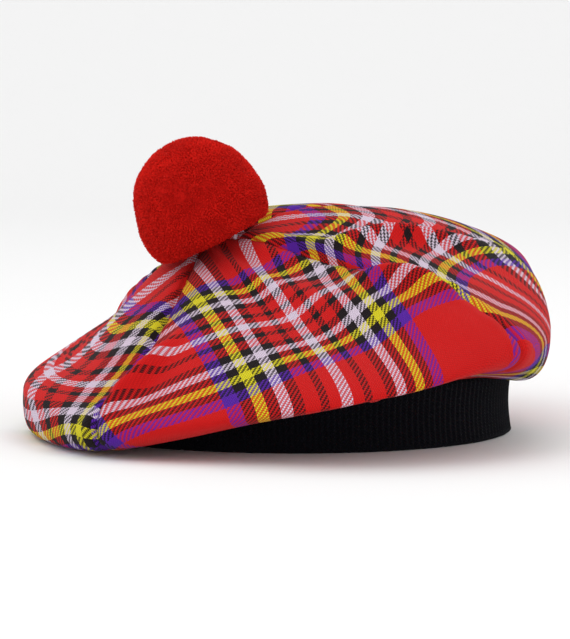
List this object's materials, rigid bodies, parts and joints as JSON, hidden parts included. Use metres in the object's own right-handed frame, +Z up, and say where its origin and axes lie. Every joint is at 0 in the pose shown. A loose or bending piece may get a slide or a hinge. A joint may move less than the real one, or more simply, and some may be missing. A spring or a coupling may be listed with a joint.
{
  "type": "tam o' shanter",
  "caption": "Soft round bonnet of tartan cloth panels gathered into a ribbed knit headband, slouched to one side, with a wool pompom on top",
  "frame": {"origin": "Middle of the head opening, on the plane of the headband's lower edge that the hat stands on.", "axes": "+Z up out of the crown; +X towards the higher side of the crown, away from the side that it slouches to; +Y towards the back, away from the panel that shows."},
  "size_m": [0.2169, 0.2271, 0.1227],
  "materials": {
    "tartan_cloth": "red tartan in soft 2/2 twill, matte",
    "ribbed_knit": "near-black fine ribbed knit, matte",
    "pompom_wool": "trimmed red wool pile"
  },
  "bodies": {
    "root": {"crown_panel_front": "tartan_cloth", "crown_panel_right": "tartan_cloth", "crown_panel_back": "tartan_cloth", "crown_panel_left": "tartan_cloth", "headband": "ribbed_knit", "pompom": "pompom_wool"}
  },
  "joints": []
}
